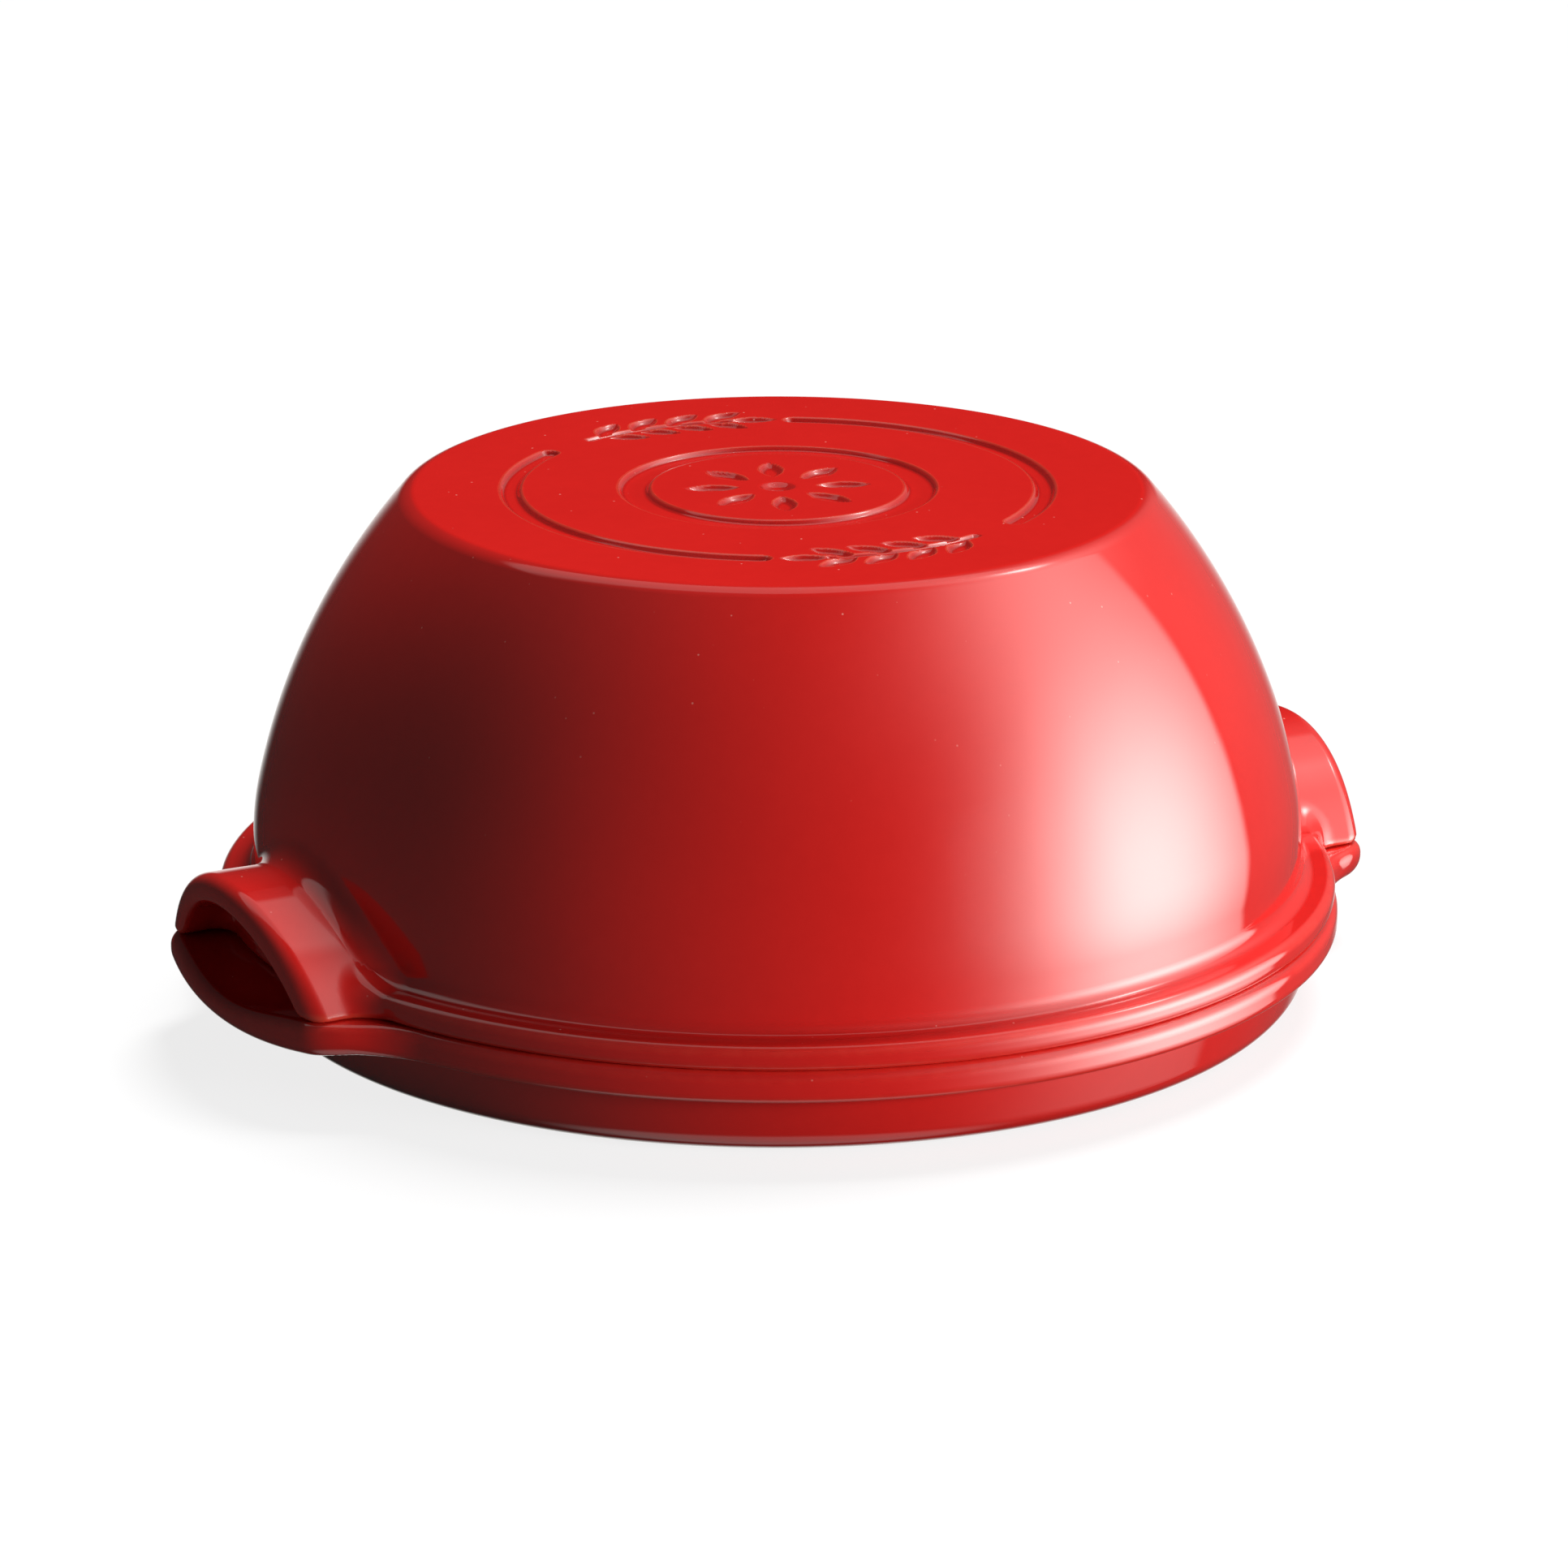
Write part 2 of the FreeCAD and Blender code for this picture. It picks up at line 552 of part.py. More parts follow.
def add_lips(body):
    """Adds the two lips: a bar that hangs at its middle, scooped for fingers and rounded all over."""
    lip_section = add_sketch(body, "lip_section", "YZ_Plane")
    lower = S.seam_height - S.lip_edge
    sagging_outline(lip_section, S.lip_half_width, S.seam_height, lower, S.lip_sag)
    half_length = S.lip_reach + S.cut_allowance
    run_through(body, "Pad", "lips", lip_section, half_length)

    volume = body.Shape.Volume
    scoop_section = add_sketch(body, "scoop_section", "YZ_Plane")
    above = S.seam_height + S.cut_allowance
    sagging_outline(scoop_section, S.scoop_half_width, above, S.seam_height, S.scoop_depth)
    scoop = run_through(body, "Pocket", "finger_scoop", scoop_section, half_length)
    require_smaller(scoop, volume)
    seam = S.seam_height.number

    def on_scoop_edge(edge):
        spot = middle(edge)
        return abs(abs(spot.y) - S.scoop_half_width.number) < NEAR and abs(spot.z - seam) < NEAR

    round_edges(body, "scoop_edge", S.scoop_round, on_scoop_edge)
    turned_cut(body, "lip_ends", (
        (S.lip_reach, lower - S.lip_sag - S.cut_allowance, None),
        (half_length + S.lip_half_width, lower - S.lip_sag - S.cut_allowance, None),
        (half_length + S.lip_half_width, above, None),
        (S.lip_reach, above, None),
    ))

    def outside_wall(edge):
        spot = middle(edge)
        return math.hypot(spot.x, spot.y) > S.rim_radius.number

    def upright(edge):
        along = edge.tangentAt(edge.FirstParameter)
        return abs(along.z) > math.hypot(along.x, along.y)

    def lengthwise(edge):
        level = edge.BoundBox.YLength < NEAR and edge.BoundBox.ZLength < NEAR
        return level and abs(middle(edge).y) < S.lip_half_width.number - NEAR

    def on_lip_corner(edge):
        spot = middle(edge)
        at_end = abs(math.hypot(spot.x, spot.y) - S.lip_reach.number) < NEAR
        return at_end and abs(abs(spot.y) - S.lip_half_width.number) < NEAR

    def on_lower_edge(edge):
        return outside_wall(edge) and not upright(edge) and middle(edge).z < lower.number + NEAR

    def on_upper_edge(edge):
        high = middle(edge).z > seam - S.scoop_depth.number - NEAR
        return outside_wall(edge) and not upright(edge) and high and not lengthwise(edge)

    def on_dish_wall(spot):
        slope = (S.wall_top_radius.number - S.wall_foot_radius.number) / seam
        wall = S.wall_foot_radius.number + slope * spot.z
        return abs(math.hypot(spot.x, spot.y) - wall) < NEAR

    def within_lip(spot):
        inside = abs(spot.y) < S.lip_half_width.number + NEAR
        return inside and spot.z > lower.number - S.lip_sag.number - NEAR

    def on_lip_root(edge):
        spots = [edge.valueAt(edge.FirstParameter), middle(edge), edge.valueAt(edge.LastParameter)]
        seam_line = abs(middle(edge).y) < NEAR and upright(edge)
        return all(on_dish_wall(spot) and within_lip(spot) for spot in spots) and not seam_line

    round_edges(body, "lip_corners", S.lip_corner, on_lip_corner)
    round_edges(body, "lip_lower_edge", S.lip_lower_round, on_lower_edge)
    round_edges(body, "lip_root", S.lip_blend, on_lip_root)
    round_edges(body, "lip_upper_edge", S.lip_upper_round, on_upper_edge)


bodies = (make_lid(), make_dish())
document.recompute()
for item in document.Objects:
    if "Invalid" in item.State or "Error" in item.State:
        raise RuntimeError("%s did not build: %s" % (item.Name, item.State))
for body in bodies:
    if body.Shape.isNull() or not body.Shape.isValid():
        raise RuntimeError(body.Label + " has no valid shape")
os.makedirs("parts", exist_ok=True)
for body in bodies:
    body.Shape.exportStep("parts/%s.step" % body.Label)
    print(body.Label, "volume", round(body.Shape.Volume / 1000, 1), "cm3, solids", len(body.Shape.Solids))
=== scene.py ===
import math

import bpy
import numpy as np
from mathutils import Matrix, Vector


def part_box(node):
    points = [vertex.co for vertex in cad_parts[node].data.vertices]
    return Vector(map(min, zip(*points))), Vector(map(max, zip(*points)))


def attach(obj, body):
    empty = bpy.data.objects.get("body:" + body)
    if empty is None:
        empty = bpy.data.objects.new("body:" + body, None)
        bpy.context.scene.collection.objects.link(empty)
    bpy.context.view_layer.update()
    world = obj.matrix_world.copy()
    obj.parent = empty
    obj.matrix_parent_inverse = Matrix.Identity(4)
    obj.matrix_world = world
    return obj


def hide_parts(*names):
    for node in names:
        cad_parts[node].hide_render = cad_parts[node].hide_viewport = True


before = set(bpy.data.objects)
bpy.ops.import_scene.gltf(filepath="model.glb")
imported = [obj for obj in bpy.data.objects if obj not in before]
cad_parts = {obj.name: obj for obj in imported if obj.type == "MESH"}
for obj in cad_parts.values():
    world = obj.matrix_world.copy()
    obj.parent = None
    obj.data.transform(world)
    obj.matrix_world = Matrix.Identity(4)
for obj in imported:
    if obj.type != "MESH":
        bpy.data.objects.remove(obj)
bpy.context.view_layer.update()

# Sizes in millimetres, read from the CAD solids where they set the outline
mm = 0.001
dish_high = Vector(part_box("base_dish")[1]) / mm
lid_low, lid_high = (Vector(corner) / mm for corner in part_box("dome_lid"))
rim_radius = dish_high.y
lip_reach = dish_high.x
seam_height = dish_high.z
arch_reach = lid_high.x
top_height = lid_high.z
skirt_foot = lid_low.z

# The lid
lid_rim_radius = rim_radius - 0.8
wall_radius = lid_rim_radius - 9.0
top_radius = wall_radius - 40.8
lid_wall = 7.5
ledge_height = 6.8
ledge_fall = 0.06
ledge_round = 2.6
ledge_cove = 3.6
seam_round = 2.2
bend_height = seam_height + 16.5
bend_radius = 67.0
bend_turn = math.radians(12.1)
top_round = 6.2
ceiling_round = 14.0
skirt_radius = rim_radius - 11.8
skirt_round = 1.5
arch_half_width = 44.4
arch_rise = 25.8
arch_band = 7.6
arch_outer_round = 3.8
arch_inner_round = 2.8
arch_blend = 6.0

# The dish
wall_top_radius = rim_radius - 1.9
wall_foot_radius = wall_top_radius - 8.7
rim_height = 8.0
rim_upper_round = 3.2
rim_lower_round = 2.0
rim_cove = 1.2
foot_round = 6.0
foot_inner_radius = wall_foot_radius - 21.2
foot_recess = 1.6
foot_edge_round = 1.0
mouth_radius = wall_top_radius - 9.0
mouth_foot = skirt_foot - 0.9
mouth_round = 8.0
floor_height = foot_recess + 7.4
floor_radius = mouth_radius - 6.9
floor_round = 9.0
seat_round = 1.5
lip_half_width = arch_half_width + 3.1
lip_corner = 9.0
lip_flow = 14.0
lip_sag = 4.0
lip_lower_round = 5.0
scoop_half_width = 41.0
scoop_depth = 4.6

# The pressed decoration on the top. A fullness above 1 gives a hollow a flat bottom.
ring_inset = 25.0
ring_spacing = 30.6
ring_depth = 1.3
ring_shoulder = 1.5
outer_ring_width = 4.4
outer_ring_radius = top_radius - ring_inset - outer_ring_width / 2
outer_ring_sweep = math.radians(116.0)
inner_ring_width = 7.0
inner_ring_radius = top_radius - ring_inset - ring_spacing - inner_ring_width / 2
leaf_depth = 1.2
leaf_length = 13.5
leaf_width = 6.0
leaf_fullness = 1.15
leaf_lean = math.radians(36.0)
leaf_pitch = 10.5
leaf_offset = 4.6
leaf_pairs = 4
first_leaf = 0.3 * leaf_pitch
stem_length = 46.0
stem_width = 3.2
stem_fullness = 1.2
stem_share = 0.7
stem_fade = 2.0
petal_count = 8
petal_length = 15.0
petal_width = 6.6
petal_radius = 17.0
button_radius = 5.0
button_fullness = 1.5

# The mesh: the size of its cells, the turns in degrees from a handle where its steps round the axis
# change, and the numbers of these steps by the handle, between and by the front
cell = 0.92
handle_turn = 27.0
front_turn = 56.0
shell_steps = (52, 15, 17)
sprig_steps = (12, 13, 74)
rosette_steps = (15, 16, 19)
sprig_rings = 48
rosette_rings = 68
cap_radius = 3.0

# The camera of the photograph, with its shift as a share of the picture's 1932 pixels
camera_azimuth = math.radians(-28.5)
camera_elevation = math.radians(17.47)
camera_distance = 1.804
camera_sensor = 36.0
camera_lens = 158.39
camera_shift = 7.8 / 1932
aim = Vector((0.0, 0.0, 0.05247))
towards_camera = Vector((math.sin(camera_azimuth), -math.cos(camera_azimuth), 0.0))
to_the_right = Vector((math.cos(camera_azimuth), math.sin(camera_azimuth), 0.0))

# How bright the parts of the studio are that the glaze mirrors
soft_box_glow = 7.8
above_box_glow = 1.5
beside_box_glow = 0.2
lamp_glow = 7.0
ceiling_glow = 0.45
table_glow = 0.38
backdrop_glow = 0.9
left_room_glow = 0.05
room_glow = 0.018
fill_glow = 0.03
warm_white = (1.0, 0.98, 0.95, 1)

# The glaze: its colours, how much of each shows, its gloss, and its relief in millimetres
deep_red = (0.57, 0.0125, 0.0105, 1)
bright_red = (0.63, 0.0155, 0.0125, 1)
pooled_red = (0.47, 0.009, 0.008, 1)
thin_red = (0.66, 0.065, 0.036, 1)
speck_pink = (0.86, 0.36, 0.30, 1)
pooled_share = 0.6
thin_share = 0.65
speck_share = 0.8
glaze_ior = 1.9
gloss_roughness = 0.06
satin_roughness = 0.2
gloss_mirror = 0.5
satin_mirror = 0.015
swell_height = 0.05
ripple_height = 0.0012
speck_pit = 0.02

# The bare clay: its colours and the height of its grain in millimetres
dark_buff = (0.46, 0.33, 0.24, 1)
pale_buff = (0.66, 0.52, 0.40, 1)
sand_brown = (0.24, 0.16, 0.11, 1)
clay_roughness = 0.8
sand_height = 0.08


def join(first, second, hollow):
    """Joins two solids, given by their distances, with a hollow of a radius along the corner."""
    corner = np.hypot(np.maximum(hollow - first, 0), np.maximum(hollow - second, 0))
    return np.maximum(hollow, np.minimum(first, second)) - corner


def trim(first, second, rounding):
    """Keeps what two solids share and rounds the edge between them."""
    corner = np.hypot(np.maximum(rounding + first, 0), np.maximum(rounding + second, 0))
    return np.minimum(-rounding, np.maximum(first, second)) + corner


def ease(value):
    """Goes smoothly from 0 to 1 with a value, and stays there."""
    value = np.clip(value, 0, 1)
    return value * value * (3 - 2 * value)


def dome_curves():
    """The centre of the tight bend of the dome, and the centre and the radius of its long flank."""
    bend_centre = np.array((wall_radius - bend_radius, bend_height))
    outward = np.array((math.cos(bend_turn), math.sin(bend_turn)))
    bend_end = bend_centre + bend_radius * outward
    run = bend_end[0] - top_radius
    rise = top_height - bend_end[1]
    flank_radius = (run * run + rise * rise) / (2 * (run * outward[0] - rise * outward[1]))
    flank_centre = bend_centre + (bend_radius - flank_radius) * outward
    return bend_centre, flank_centre, flank_radius


bend_centre, flank_centre, flank_radius = dome_curves()


def dome_side(radius, height, inset):
    """How far points lie outside the side of the dome, moved in by an inset."""
    wall = radius - wall_radius
    bend = np.hypot(radius - bend_centre[0], height - bend_centre[1]) - bend_radius
    flank = np.hypot(radius - flank_centre[0], height - flank_centre[1]) - flank_radius
    turn = np.arctan2(height - bend_centre[1], radius - bend_centre[0])
    return inset + np.where(turn < 0, wall, np.where(turn < bend_turn, bend, flank))


def lid_field(x, y, z):
    """How far points lie outside the lid, below the upper part of its dome."""
    radius = np.hypot(x, y)
    ledge_top = seam_height + ledge_height - ledge_fall * (radius - wall_radius)
    ledge = trim(radius - lid_rim_radius, z - ledge_top, ledge_round)
    arch_radius = (arch_half_width ** 2 + arch_rise ** 2) / (2 * arch_rise)
    arch = np.hypot(y, z - (seam_height + arch_rise - arch_radius))
    hood = trim(arch - arch_radius, radius - arch_reach, arch_outer_round)
    hood = trim(hood, arch_radius - arch_band - arch, arch_inner_round)
    outside = join(join(dome_side(radius, z, 0), ledge, ledge_cove), hood, arch_blend)
    outside = trim(outside, seam_height - z, seam_round)
    skirt = trim(radius - skirt_radius, skirt_foot - z, skirt_round)
    skirt = np.maximum(skirt, z - seam_height - ledge_height / 2)
    return trim(np.minimum(outside, skirt), -dome_side(radius, z, lid_wall), skirt_round)


def dish_field(x, y, z):
    """How far points lie outside the dish."""
    radius = np.hypot(x, y)
    lean = (wall_top_radius - wall_foot_radius) / seam_height
    wall = (radius - wall_foot_radius - lean * z) / math.hypot(1, lean)
    lip = trim(np.abs(y) - lip_half_width, radius - lip_reach, lip_corner)
    plan = join(radius - rim_radius, lip, lip_flow)
    outwards = ease((radius - wall_top_radius) / (lip_reach - rim_radius))
    belly = np.maximum(1 - (y / lip_half_width) ** 2, 0)
    underside = seam_height - rim_height - lip_sag * belly * outwards
    scoop = np.maximum(1 - (y / scoop_half_width) ** 2, 0) ** 2
    upper_side = seam_height - scoop_depth * scoop * outwards
    lower_round = rim_lower_round + (lip_lower_round - rim_lower_round) * outwards
    band = trim(plan, underside - z, lower_round)
    outside = join(trim(wall, -z, foot_round), band, rim_cove)
    outside = trim(outside, z - upper_side, rim_upper_round)
    floor_lean = (mouth_radius - floor_radius) / (mouth_foot - floor_height)
    inner_wall = radius - floor_radius - floor_lean * (z - floor_height)
    inner_wall = inner_wall / math.hypot(1, floor_lean)
    inside = trim(radius - mouth_radius, inner_wall, mouth_round)
    inside = trim(inside, floor_height - z, floor_round)
    recess = trim(radius - foot_inner_radius - foot_recess + z, z - foot_recess, foot_edge_round)
    return trim(trim(outside, -inside, seat_round), -recess, foot_edge_round)


def turns_round(steps):
    """Angles round the axis, with each quarter's steps by the handle, between and by the front."""
    handle_steps, middle_steps, front_steps = steps
    quarter = np.concatenate((
        np.linspace(0, handle_turn, handle_steps, endpoint=False),
        np.linspace(handle_turn, front_turn, middle_steps, endpoint=False),
        np.linspace(front_turn, 90, front_steps, endpoint=False),
    ))
    half = np.concatenate((quarter, 180 - np.append(quarter[1:], 90)[::-1]))
    return np.radians(np.concatenate((half, half + 180)))


def turns_ahead(turns):
    """The next angle round the axis after each one."""
    return np.append(turns[1:], turns[0] + 2 * math.pi)


class Shell:
    """A closed skin that grows piece by piece, in millimetres."""

    def __init__(self, planes):
        self.planes = planes
        self.columns = (planes + turns_ahead(planes)) / 2
        self.points = []
        self.normals = []
        self.faces = []
        self.triangles = []
        self.caps = []
        self.count = 0

    def add_points(self, points, normals):
        """Adds points and returns their numbers."""
        first = self.count
        self.points.append(points)
        self.normals.append(normals)
        self.count += len(points)
        return np.arange(first, self.count)

    def add_faces(self, corners, turned):
        """Adds faces from four lists of corners. Those that are turned face the other way."""
        corners = np.stack(corners, axis=-1).reshape(-1, 4)
        turned = np.broadcast_to(turned, corners.shape[:1])
        corners[turned] = corners[turned][:, ::-1]
        self.faces.append(corners)

    def add_net(self, field, radii, heights):
        """Adds the skin of a solid inside a ring of cells and returns the number of each cell's point."""
        angle, radius, height = np.meshgrid(self.planes, radii, heights, indexing="ij")
        value = field(radius * np.cos(angle), radius * np.sin(angle), height)
        total, weight = self.crossings(value, radii, heights)
        used = weight > 0
        turn, radius, height = (total[used] / weight[used][:, None]).T
        points = np.stack((radius * np.cos(turn), radius * np.sin(turn), height), axis=-1)
        number = np.full(weight.shape, -1)
        number[used] = self.add_points(*settle(field, points))
        self.add_net_faces(number, value < 0)
        return number

    def add_net_faces(self, number, inside):
        """Lays a face across each edge of the grid that passes through the skin."""
        before = np.roll(number, 1, axis=0)
        ahead = np.roll(inside, -1, axis=0)
        round_upright = (before[:, :-1], number[:, :-1], number[:, 1:], before[:, 1:])
        round_outward = (before[..., :-1], before[..., 1:], number[..., 1:], number[..., :-1])
        round_level = (number[:, :-1, :-1], number[:, 1:, :-1], number[:, 1:, 1:], number[:, :-1, 1:])
        edges = (
            (round_upright, inside[:, 1:-1, :-1], inside[:, 1:-1, 1:]),
            (round_outward, inside[:, :-1, 1:-1], inside[:, 1:, 1:-1]),
            (round_level, inside[:, 1:-1, 1:-1], ahead[:, 1:-1, 1:-1]),
        )
        for cells, start, stop in edges:
            crossed = start != stop
            self.add_faces([part[crossed] for part in cells], start[crossed])

    def crossings(self, value, radii, heights):
        """Sums up, for each cell, the places where its edges pass through the skin, and their number."""
        cells = (len(self.planes), len(radii) - 1, len(heights) - 1)
        total = np.zeros(cells + (3,))
        weight = np.zeros(cells)
        corners = []
        here = (self.planes, value)
        ahead = (turns_ahead(self.planes), np.roll(value, -1, axis=0))
        for turn, side in (here, ahead):
            for out in (0, 1):
                for up in (0, 1):
                    part = side[:, out:out + cells[1], up:up + cells[2]]
                    spot = np.empty(cells + (3,))
                    spot[..., 0] = turn[:, None, None]
                    spot[..., 1] = radii[None, out:out + cells[1], None]
                    spot[..., 2] = heights[None, None, up:up + cells[2]]
                    corners.append((part, spot))
        # The bits of a corner's number say whether it lies ahead (4), further out (2) and higher (1)
        for first in range(len(corners)):
            for step in (1, 2, 4):
                if first & step:
                    continue
                start, start_spot = corners[first]
                stop, stop_spot = corners[first + step]
                crossed = (start < 0) != (stop < 0)
                share = start[crossed] / (start[crossed] - stop[crossed])
                away = (stop_spot - start_spot)[crossed]
                total[crossed] += start_spot[crossed] + share[:, None] * away
                weight[crossed] += 1
        return total, weight

    def add_rows(self, start, rows, turned):
        """Goes on from a ring of points through further rings and returns the last one."""
        last = start
        for points, normals in rows:
            ring = self.add_points(points, normals)
            self.add_faces((last, np.roll(last, -1), np.roll(ring, -1), ring), turned)
            last = ring
        return last

    def add_bridge(self, outer, outer_turns, inner, inner_turns):
        """Joins two level rings with their own numbers of points by triangles that face up."""
        steps = np.concatenate((turns_ahead(outer_turns), turns_ahead(inner_turns)))
        on_outer = np.argsort(steps, kind="stable") < len(outer)
        outer_step = np.cumsum(on_outer) - on_outer
        inner_step = np.arange(len(steps)) - outer_step
        ahead = np.where(
            on_outer,
            outer[(outer_step + 1) % len(outer)],
            inner[(inner_step + 1) % len(inner)],
        )
        corners = (outer[outer_step % len(outer)], ahead, inner[inner_step % len(inner)])
        self.triangles.append(np.stack(corners, axis=-1))

    def add_cap(self, ring, turned):
        """Closes a ring with one flat face."""
        self.caps.append(ring[::-1] if turned else ring)

    def ring(self, radius, height, slope):
        """A level ring of points with normals that lean outwards and up by a slope angle."""
        level = np.stack((np.cos(self.columns), np.sin(self.columns)), axis=-1)
        points = np.column_stack((radius * level, np.full(len(level), height)))
        normals = np.column_stack((math.cos(slope) * level, np.full(len(level), math.sin(slope))))
        return points, normals

    def make_object(self, name):
        """Makes a smooth mesh of the skin, with its normals and its sharpness."""
        points = np.concatenate(self.points)
        normals = np.concatenate(self.normals)
        faces = [corners for group in self.faces + self.triangles for corners in group] + self.caps
        loops = np.concatenate(faces)
        sizes = np.array([len(corners) for corners in faces])
        starts = np.concatenate(([0], np.cumsum(sizes)[:-1]))
        mesh = bpy.data.meshes.new(name)
        mesh.vertices.add(len(points))
        mesh.vertices.foreach_set("co", (points * mm).ravel())
        mesh.loops.add(len(loops))
        mesh.loops.foreach_set("vertex_index", loops.astype(np.int32))
        mesh.polygons.add(len(sizes))
        mesh.polygons.foreach_set("loop_start", starts.astype(np.int32))
        mesh.update(calc_edges=True)
        mesh.validate()
        mesh.polygons.foreach_set("use_smooth", np.ones(len(mesh.polygons), dtype=bool))
        mesh.normals_split_custom_set_from_vertices(normals)
        bends = sharpness(mesh, points, normals)
        mesh.attributes.new("sharpness", "FLOAT", "POINT").data.foreach_set("value", bends)
        thing = bpy.data.objects.new(name, mesh)
        bpy.context.scene.collection.objects.link(thing)
        return thing


def sharpness(mesh, points, normals):
    """How sharply the skin bends at each point, per millimetre: above 0 on edges, below 0 in hollows."""
    least_square = 0.01
    ends = np.empty(2 * len(mesh.edges), dtype=np.int32)
    mesh.edges.foreach_get("vertices", ends)
    first, second = ends.reshape(-1, 2).T
    away = points[second] - points[first]
    bend = np.sum((normals[second] - normals[first]) * away, axis=-1)
    bend /= np.maximum(np.sum(away * away, axis=-1), least_square)
    total = np.bincount(first, bend, len(points)) + np.bincount(second, bend, len(points))
    return total / np.bincount(ends, minlength=len(points))


def settle(field, points):
    """Moves points onto the skin of a solid and returns them with the skin's normals."""
    step = 0.01
    rounds = 4
    least_steepness = 0.2
    for _ in range(rounds):
        x, y, z = points.T
        slope = np.stack((
            field(x + step, y, z) - field(x - step, y, z),
            field(x, y + step, z) - field(x, y - step, z),
            field(x, y, z + step) - field(x, y, z - step),
        ), axis=-1) / (2 * step)
        steepness = np.maximum(np.linalg.norm(slope, axis=-1), least_steepness)
        points = points - slope * (field(x, y, z) / steepness ** 2)[:, None]
    return points, slope / steepness[:, None]


def leaf(along, across, length, width):
    """A leaf-shaped hollow about the origin, from 0 around it to 1 along its middle."""
    narrowest = 0.05
    taper = np.maximum(1 - (2 * along / length) ** 2, 0)
    half_width = width * np.maximum(taper, narrowest) / 2
    return ease(leaf_fullness * taper * np.maximum(1 - (across / half_width) ** 2, 0))


def groove(off_middle, width):
    """The hollow of a ring, from 0 around it to 1 in it, by the distance from its middle."""
    return ease((width / 2 - off_middle) / ring_shoulder + 0.5)


def rotated(along, across, turn):
    """A place as it is seen from axes that are rotated by a turn."""
    return (
        along * math.cos(turn) + across * math.sin(turn),
        across * math.cos(turn) - along * math.sin(turn),
    )


def pressed_rings(radius, turn):
    """The broken outer ring and the whole inner ring, from 0 around them to 1 in them."""
    past_end = np.maximum(np.abs(turn) - outer_ring_sweep / 2, 0)
    off_arc = np.hypot(radius - outer_ring_radius, outer_ring_radius * past_end)
    off_ring = np.abs(radius - inner_ring_radius)
    return np.maximum(groove(off_arc, outer_ring_width), groove(off_ring, inner_ring_width))


def pressed_sprig(along, across):
    """A plain leafy sprig that lies in a gap of the broken ring."""
    tip = stem_length / 2
    stem = ease(stem_fullness * (1 - 2 * np.abs(across) / stem_width))
    depth = stem_share * stem * ease((tip - np.abs(along)) / stem_fade)
    for side in (-1, 1):
        for pair in range(leaf_pairs):
            middle = tip - first_leaf - leaf_pitch * pair
            spot = rotated(along - middle, across - side * leaf_offset, side * leaf_lean)
            depth = np.maximum(depth, leaf(*spot, leaf_length, leaf_width))
    return np.maximum(depth, leaf(along - tip - leaf_length / 3, across, leaf_length, leaf_width))


def pressed_rosette(x, y):
    """Plain petals round a button, inside the whole ring."""
    depth = ease(button_fullness * (1 - np.hypot(x, y) / button_radius))
    for petal in range(petal_count):
        along, across = rotated(x, y, 2 * math.pi * (petal + 0.5) / petal_count)
        depth = np.maximum(depth, leaf(along - petal_radius, across, petal_length, petal_width))
    return depth


def pressed_depth(x, y):
    """How deep the decoration is pressed into the top at each point."""
    radius = np.hypot(x, y)
    rings = pressed_rings(radius, np.arctan2(y, np.abs(x)))
    back = np.where(y < 0, -1, 1)
    along = outer_ring_radius * np.arctan2(x * back, y * back)
    sprig = pressed_sprig(along, radius - outer_ring_radius)
    motif = np.where(radius > inner_ring_radius, sprig, pressed_rosette(x, y))
    return np.maximum(ring_depth * rings, leaf_depth * motif)


def arc_steps(centre, radius, start, stop, count):
    """Points along an arc in the section, as radius, height and slope."""
    for slope in np.linspace(start, stop, count):
        yield centre[0] + radius * math.cos(slope), centre[1] + radius * math.sin(slope), slope


def dome_path(start_height, inset, ceiling, rounding, flank_count, round_count):
    """Steps up the flank of the dome and over its rounded upper edge, as radius, height and slope."""
    radius = flank_radius - inset
    round_height = ceiling - rounding
    rise = round_height - flank_centre[1]
    round_centre = (flank_centre[0] + math.sqrt((radius - rounding) ** 2 - rise ** 2), round_height)
    lean = math.atan2(rise, round_centre[0] - flank_centre[0])
    start = math.asin((start_height - flank_centre[1]) / radius)
    path = list(arc_steps(flank_centre, radius, start, lean, flank_count))
    path += list(arc_steps(round_centre, rounding, lean, math.pi / 2, round_count))[1:]
    return path


def pressed_rows(turns, radii):
    """Rings across the flat top with the pressed decoration."""
    step = 0.02
    for radius in radii:
        x = radius * np.cos(turns)
        y = radius * np.sin(turns)
        lean = np.stack((
            pressed_depth(x + step, y) - pressed_depth(x - step, y),
            pressed_depth(x, y + step) - pressed_depth(x, y - step),
            np.full(len(x), 2 * step),
        ), axis=-1)
        points = np.stack((x, y, top_height - pressed_depth(x, y)), axis=-1)
        yield points, lean / np.linalg.norm(lean, axis=-1)[:, None]


def add_top(shell, edge):
    """Covers the flat top with a zone of rings for the sprigs and one for the rosette."""
    sprig_outside = outer_ring_radius + 2 * leaf_width
    sprig_inside = outer_ring_radius - 2 * leaf_width
    rosette_outside = inner_ring_radius + inner_ring_width
    zones = (
        (turns_round(sprig_steps), np.linspace(sprig_outside, sprig_inside, sprig_rings)),
        (turns_round(rosette_steps), np.linspace(rosette_outside, cap_radius, rosette_rings)),
    )
    last = edge
    last_turns = shell.columns
    for turns, radii in zones:
        rows = list(pressed_rows(turns, radii))
        first = shell.add_points(*rows[0])
        shell.add_bridge(last, last_turns, first, turns)
        last = shell.add_rows(first, rows[1:], turned=False)
        last_turns = turns
    shell.add_cap(last, turned=False)


